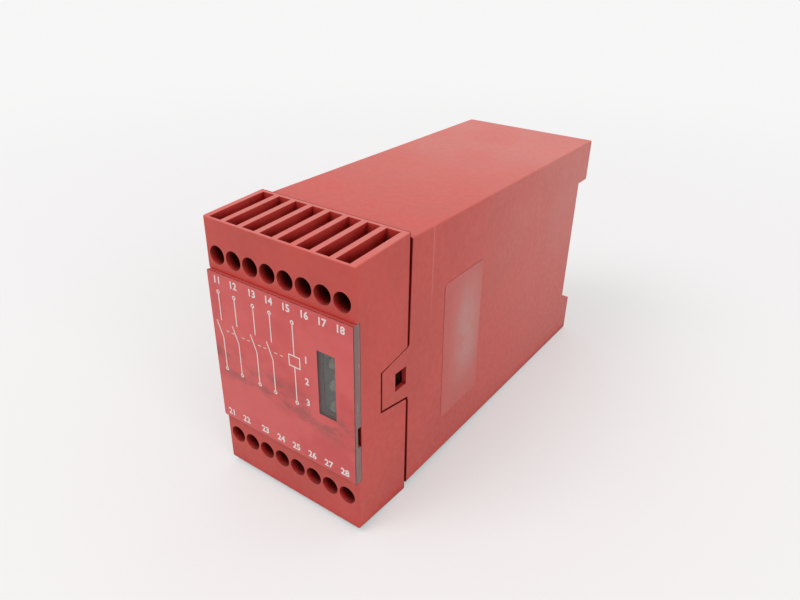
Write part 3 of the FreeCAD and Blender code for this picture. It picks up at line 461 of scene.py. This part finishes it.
def as_piece(name, curve, material):
    """Turn a filled curve or text into a mesh piece that rides on the enclosure."""
    bpy.context.view_layer.update()
    depsgraph = bpy.context.evaluated_depsgraph_get()
    mesh = bpy.data.meshes.new_from_object(curve.evaluated_get(depsgraph))
    mesh.transform(curve.matrix_world)
    bpy.data.objects.remove(curve)
    piece = bpy.data.objects.new(name, mesh)
    scene.collection.objects.link(piece)
    mesh.materials.clear()
    mesh.materials.append(material)
    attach(piece, ENCLOSURE)
    return piece


def filled_curve(name, loops, thick):
    """A flat filled shape in X and Y, made of straight-sided loops, holes included."""
    data = bpy.data.curves.new(name, "CURVE")
    data.dimensions = "2D"
    data.fill_mode = "BOTH"
    data.extrude = thick / 2
    for loop in loops:
        spline = data.splines.new("POLY")
        spline.points.add(len(loop) - 1)
        for point, (across, up) in zip(spline.points, loop):
            point.co = (across, up, 0, 1)
        spline.use_cyclic_u = True
    curve = bpy.data.objects.new(name, data)
    scene.collection.objects.link(curve)
    return curve


def on_front(curve, back):
    """Stand a flat shape up so that it faces the front, with its middle at depth `back`."""
    curve.rotation_euler = (math.radians(90), 0, 0)
    curve.location = (0, back, 0)
    return curve


def box_loop(left, right, low, high):
    """The four corners of a rectangle."""
    return [(left, low), (right, low), (right, high), (left, high)]


def rounded_left_loop(left, right, low, high, radius, points=6):
    """A rectangle whose two left corners are rounded."""
    loop = [(right, low), (right, high)]
    for middle, start in ((high - radius, 90), (low + radius, 180)):
        for n in range(points + 1):
            angle = math.radians(start + 90 * n / points)
            loop.append((left + radius + radius * math.cos(angle), middle + radius * math.sin(angle)))
    return loop


def disc_loop(across, up, radius, points):
    """Points round a circle."""
    return [(across + radius * math.cos(2 * math.pi * n / points),
             up + radius * math.sin(2 * math.pi * n / points)) for n in range(points)]


def stroke(start, end, width):
    """A straight stroke of ink between two points."""
    start, end = Vector(start), Vector(end)
    side = (end - start).orthogonal().normalized() * width / 2
    return [tuple(start - side), tuple(end - side), tuple(end + side), tuple(start + side)]


# The window's corners, measured from the middle of the hood.
window_low = Vector((11.95 * MM, 0, MID_HEIGHT - 4.5 * MM))
window_high = Vector((17.15 * MM, 0, MID_HEIGHT + 12.7 * MM))


def make_film():
    """The film with its window cut out, which stands for the plain CAD film."""
    corner_radius = 0.4 * MM
    outline = rounded_left_loop(film_low.x, film_high.x, film_low.z, film_high.z, corner_radius)
    window = box_loop(window_low.x, window_high.x, window_low.z, window_high.z)
    sheet = filled_curve("film", [outline, window], film_high.y - FILM_FRONT)
    on_front(sheet, (FILM_FRONT + film_high.y) / 2)
    film = as_piece("printed_film", sheet, printed_film())
    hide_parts("label_film")


make_film()

# A font's size over the height of its figures, and how far the ink spreads past their outline.
FIGURE_SCALE, INK_SPREAD = 1.38, 0.065 * MM


def print_text(name, words, across, up, height):
    """Plain figures printed on the film, centred on a point measured from the middle of the hood."""
    data = bpy.data.curves.new(name, "FONT")
    data.body = words
    data.size = height * MM * FIGURE_SCALE
    data.align_x = "CENTER"
    data.align_y = "CENTER"
    data.extrude = PRINT_THICK / 2
    data.offset = INK_SPREAD
    data.resolution_u = 3
    text = bpy.data.objects.new(name, data)
    scene.collection.objects.link(text)
    on_front(text, PRINT_DEPTH)
    text.location.x = across * MM
    text.location.z = MID_HEIGHT + up * MM
    as_piece(name, text, WHITE_INK)


# Places and heights of the print, in millimetres from the middle of the hood.
TOP_MARKS = (-18.9, -13.5, -7.3, -2.0, 3.3, 8.7, 13.8, 18.9)
LOW_MARKS = (-19.1, -13.7, -6.9, -1.4, 3.8, 9.0, 14.2, 19.2)
TOP_ROW, LOW_ROW, TERMINAL_FIGURE = 20.3, -18.4, 1.9
LIGHT_LEVELS, LIGHT_COLUMN, LIGHT_FIGURE = (8.65, 2.8, -3.05), 8.6, 1.8
for number, across in enumerate(TOP_MARKS, start=1):
    print_text(f"top_number_{number}", str(10 + number), across, TOP_ROW, TERMINAL_FIGURE)
for number, across in enumerate(LOW_MARKS, start=1):
    print_text(f"low_number_{number}", str(20 + number), across, LOW_ROW, TERMINAL_FIGURE)
for number, up in enumerate(LIGHT_LEVELS, start=1):
    print_text(f"light_number_{number}", str(number), LIGHT_COLUMN, up, LIGHT_FIGURE)


def ring_loops(across, up, radius, line, points=24):
    """The two circles of a ring drawn with a line of this width."""
    return [disc_loop(across, up, radius, points), disc_loop(across, up, radius - line, points)]


def contact_diagram():
    """A plain wiring diagram: four open contacts, linked by dashes to a coil."""
    line, ring = 0.28, 0.55
    top, blade_top, blade_foot, foot = 17.2, 9.0, 4.6, -4.6
    open_gap, blade_slant = 0.4, 1.7
    contacts = TOP_MARKS[:4]
    loops = []
    for across in contacts:
        loops.append(stroke((across, top - ring), (across, blade_top + open_gap), line))
        loops.append(stroke((across - blade_slant, blade_top), (across, blade_foot), line))
        loops.append(stroke((across, blade_foot), (across, foot + ring), line))
        for up in (top, foot):
            loops += ring_loops(across, up, ring, line)
    link_level, dash, clear_of_blade = 6.9, 0.9, 0.9
    start, end = contacts[0] - 0.4, 3.1
    for number in range(int((end - start) / (2 * dash))):
        left = start + 2 * dash * number
        if all(abs(left + dash / 2 - across) > clear_of_blade for across in contacts):
            loops.append(stroke((left, link_level), (left + dash, link_level), 0.6 * line))
    left, right, low, high = 3.2, 6.8, 5.3, 8.5
    loops.append(box_loop(left, right, low, high))
    loops.append(box_loop(left + line, right - line, low + line, high - line))
    middle = (left + right) / 2
    loops.append(stroke((middle, high), (middle, top - ring), line))
    loops.append(stroke((middle, low), (middle, foot + ring), line))
    for up in (top, foot):
        loops += ring_loops(middle, up, ring, line)
    scaled = [[(x * MM, MID_HEIGHT + z * MM) for x, z in loop] for loop in loops]
    drawing = on_front(filled_curve("contacts", scaled, PRINT_THICK), PRINT_DEPTH)
    as_piece("contact_diagram", drawing, WHITE_INK)


contact_diagram()


def light_bezel():
    """Grey strip behind the window, with a hole round each status light."""
    hole, margin, thick, behind_front = 1.75 * MM, 0.6 * MM, 0.4 * MM, 0.9 * MM
    low, high = (Vector(corner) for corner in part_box("status_leds"))
    across = (low.x + high.x) / 2
    radius = (high.x - low.x) / 2
    levels = [low.z + radius, (low.z + high.z) / 2, high.z - radius]
    loops = [box_loop(window_low.x - margin, window_high.x + margin, window_low.z - margin,
                      window_high.z + margin)]
    loops += [disc_loop(across, level, hole, 28) for level in levels]
    strip = on_front(filled_curve("bezel", loops, thick), low.y + behind_front)
    as_piece("light_bezel", strip, plain("light_bezel", (0.34, 0.35, 0.33), 0.35))


light_bezel()


# ---------------------------------------------------------------- the latch's springs

def smooth_path(points, rounds=3):
    """Cut the corners of an open line of points a few times over, ends kept."""
    for _ in range(rounds):
        cut = [points[0]]
        for start, end in zip(points, points[1:]):
            cut += [start.lerp(end, 0.25), start.lerp(end, 0.75)]
        points = cut + [points[-1]]
    return points


def spring_strip(vertices, faces, side, low, high):
    """Add one folded strip with flat feet, bent back and forth between its two sides."""
    thick, clear, width, folds = 0.28 * MM, 0.05 * MM, 2.9 * MM, 4
    inner = 0.5 * (high.x - low.x) - width + thick
    outer = 0.5 * (high.x - low.x) - thick
    bottom, top = low.z + thick / 2 + clear, high.z - thick / 2 - clear
    middle = 0.5 * (low.x + high.x)
    points = [Vector((outer, bottom))]
    for fold in range(folds + 1):
        points.append(Vector((outer if fold % 2 else inner, bottom + (top - bottom) * fold / folds)))
    points.append(Vector((outer, top)))
    points = smooth_path(points)
    for number, point in enumerate(points):
        ahead = points[min(number + 1, len(points) - 1)] - points[max(number - 1, 0)]
        away = Vector((-ahead.y, ahead.x)).normalized() * thick / 2
        for across, depth in ((away, low.y + clear), (away, high.y - clear), (-away, high.y - clear),
                              (-away, low.y + clear)):
            spot = point + across
            vertices.append((middle + side * spot.x, depth, spot.y))
    first = len(vertices) - 4 * len(points)
    for number in range(len(points) - 1):
        ring = first + 4 * number
        for corner in range(4):
            following = (corner + 1) % 4
            faces.append((ring + corner, ring + following, ring + 4 + following, ring + 4 + corner))
    faces.append((first + 3, first + 2, first + 1, first))
    last = len(vertices) - 4
    faces.append((last, last + 1, last + 2, last + 3))


def make_latch_springs():
    """Two folded strip springs that the latch's shoulders press flat as it is pulled down."""
    low, high = (Vector(corner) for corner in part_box("latch_springs"))
    vertices, faces = [], []
    for side in (-1, 1):
        spring_strip(vertices, faces, side, low, high)
    mesh = bpy.data.meshes.new("latch_spring_strips")
    mesh.from_pydata(vertices, [], faces)
    shape = bmesh.new()
    shape.from_mesh(mesh)
    bmesh.ops.recalc_face_normals(shape, faces=shape.faces)
    shape.to_mesh(mesh)
    shape.free()
    mesh.materials.append(finishes["spring_steel"])
    springs = bpy.data.objects.new("latch_spring_strips", mesh)
    scene.collection.objects.link(springs)
    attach(springs, ENCLOSURE)
    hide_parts("latch_springs")
    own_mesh(springs)


make_latch_springs()


# ---------------------------------------------------------------- floor, light and camera

PALE = (0.93, 0.925, 0.925, 1)
LAMP_AIM = (0, 0, 30 * MM)


def make_floor():
    """A pale floor that touches the two lower edges the part rests on."""
    hood_back, hood_low = hood_box[1][1], hood_box[0][2]
    slope = math.atan2(case_box[0][2] - hood_low, case_box[1][1] - hood_back)
    mesh = bpy.data.meshes.new("floor")
    reach = 3.0
    mesh.from_pydata([(-reach, -reach, 0), (reach, -reach, 0), (reach, reach, 0), (-reach, reach, 0)],
                     [], [(0, 1, 2, 3)])
    floor = bpy.data.objects.new("floor", mesh)
    scene.collection.objects.link(floor)
    floor.location = (0, hood_back, hood_low)
    floor.rotation_euler = (slope, 0, 0)
    s = Shader("floor")
    s.set(Base_Color=(0.34, 0.335, 0.335, 1), Roughness=0.9, Specular_IOR_Level=0.1)
    show_as_white(s)
    mesh.materials.append(s.material)


def show_as_white(s):
    """Lift the floor to white where it is seen, directly or mirrored, and keep its shadows."""
    path = s.add("ShaderNodeLightPath")
    seen = s.math("MAXIMUM", path.outputs["Is Camera Ray"], path.outputs["Is Glossy Ray"])
    seen = s.math("MAXIMUM", seen, path.outputs["Is Transmission Ray"])
    bright = s.add("ShaderNodeBsdfDiffuse", {"Color": (0.82, 0.80, 0.80, 1)})
    glow = s.add("ShaderNodeEmission", {"Color": PALE, "Strength": 1.0})
    white = s.add("ShaderNodeMixShader")
    away = s.add("ShaderNodeVectorMath", {0: s.coords}, operation="LENGTH").outputs["Value"]
    s.feed(white.inputs[0], s.ramp(away, 0.10, 0.55, 0.36, 1.0))
    s.feed(white.inputs[1], bright.outputs["BSDF"])
    s.feed(white.inputs[2], glow.outputs["Emission"])
    choice = s.add("ShaderNodeMixShader")
    s.feed(choice.inputs[0], seen)
    s.feed(choice.inputs[1], s.surface.outputs["BSDF"])
    s.feed(choice.inputs[2], white.outputs["Shader"])
    s.feed(s.tree.nodes["Material Output"].inputs["Surface"], choice.outputs["Shader"])


def make_lamp(name, place, size, watts):
    """A round soft lamp, its size in metres, pointed at the object."""
    data = bpy.data.lights.new(name, "AREA")
    data.shape = "DISK"
    data.size = size
    data.energy = watts
    lamp = bpy.data.objects.new(name, data)
    scene.collection.objects.link(lamp)
    lamp.location = place
    lamp.rotation_euler = (Vector(LAMP_AIM) - Vector(place)).to_track_quat("-Z", "Y").to_euler()


def make_world():
    """Soft white light, stronger from above, and a near-white backdrop."""
    world = bpy.data.worlds.new("studio")
    world.use_nodes = True
    nodes, links = world.node_tree.nodes, world.node_tree.links
    even, backdrop = nodes["Background"], nodes.new("ShaderNodeBackground")
    even.inputs["Color"].default_value = (1, 1, 1, 1)
    coords, split = nodes.new("ShaderNodeTexCoord"), nodes.new("ShaderNodeSeparateXYZ")
    rise = nodes.new("ShaderNodeMapRange")
    links.new(coords.outputs["Generated"], split.inputs["Vector"])
    links.new(split.outputs["Z"], rise.inputs["Value"])
    for name, value in (("From Min", 0.0), ("From Max", 1.0), ("To Min", 0.38), ("To Max", 0.95)):
        rise.inputs[name].default_value = value
    links.new(rise.outputs["Result"], even.inputs["Strength"])
    backdrop.inputs["Color"].default_value = PALE
    mix, path = nodes.new("ShaderNodeMixShader"), nodes.new("ShaderNodeLightPath")
    links.new(path.outputs["Is Camera Ray"], mix.inputs["Fac"])
    links.new(even.outputs["Background"], mix.inputs[1])
    links.new(backdrop.outputs["Background"], mix.inputs[2])
    links.new(mix.outputs["Shader"], nodes["World Output"].inputs["Surface"])
    scene.world = world


def make_camera():
    """The viewpoint: from the front, to the right and above."""
    data = bpy.data.cameras.new("camera")
    data.sensor_width = 36.0
    data.lens = 30.51
    data.clip_start = 0.005
    camera = bpy.data.objects.new("camera", data)
    scene.collection.objects.link(camera)
    camera.location = (98.27 * MM, -152.14 * MM, 129.11 * MM)
    camera.rotation_euler = tuple(math.radians(angle) for angle in (61.651, -0.974, 35.733))
    scene.camera = camera


make_floor()
make_world()
make_lamp("key", (-0.60, -1.10, 1.45), size=1.1, watts=12.0)
make_lamp("fill", (1.40, -0.55, 0.60), size=1.0, watts=8.0)
make_camera()
scene.view_settings.view_transform = "Standard"
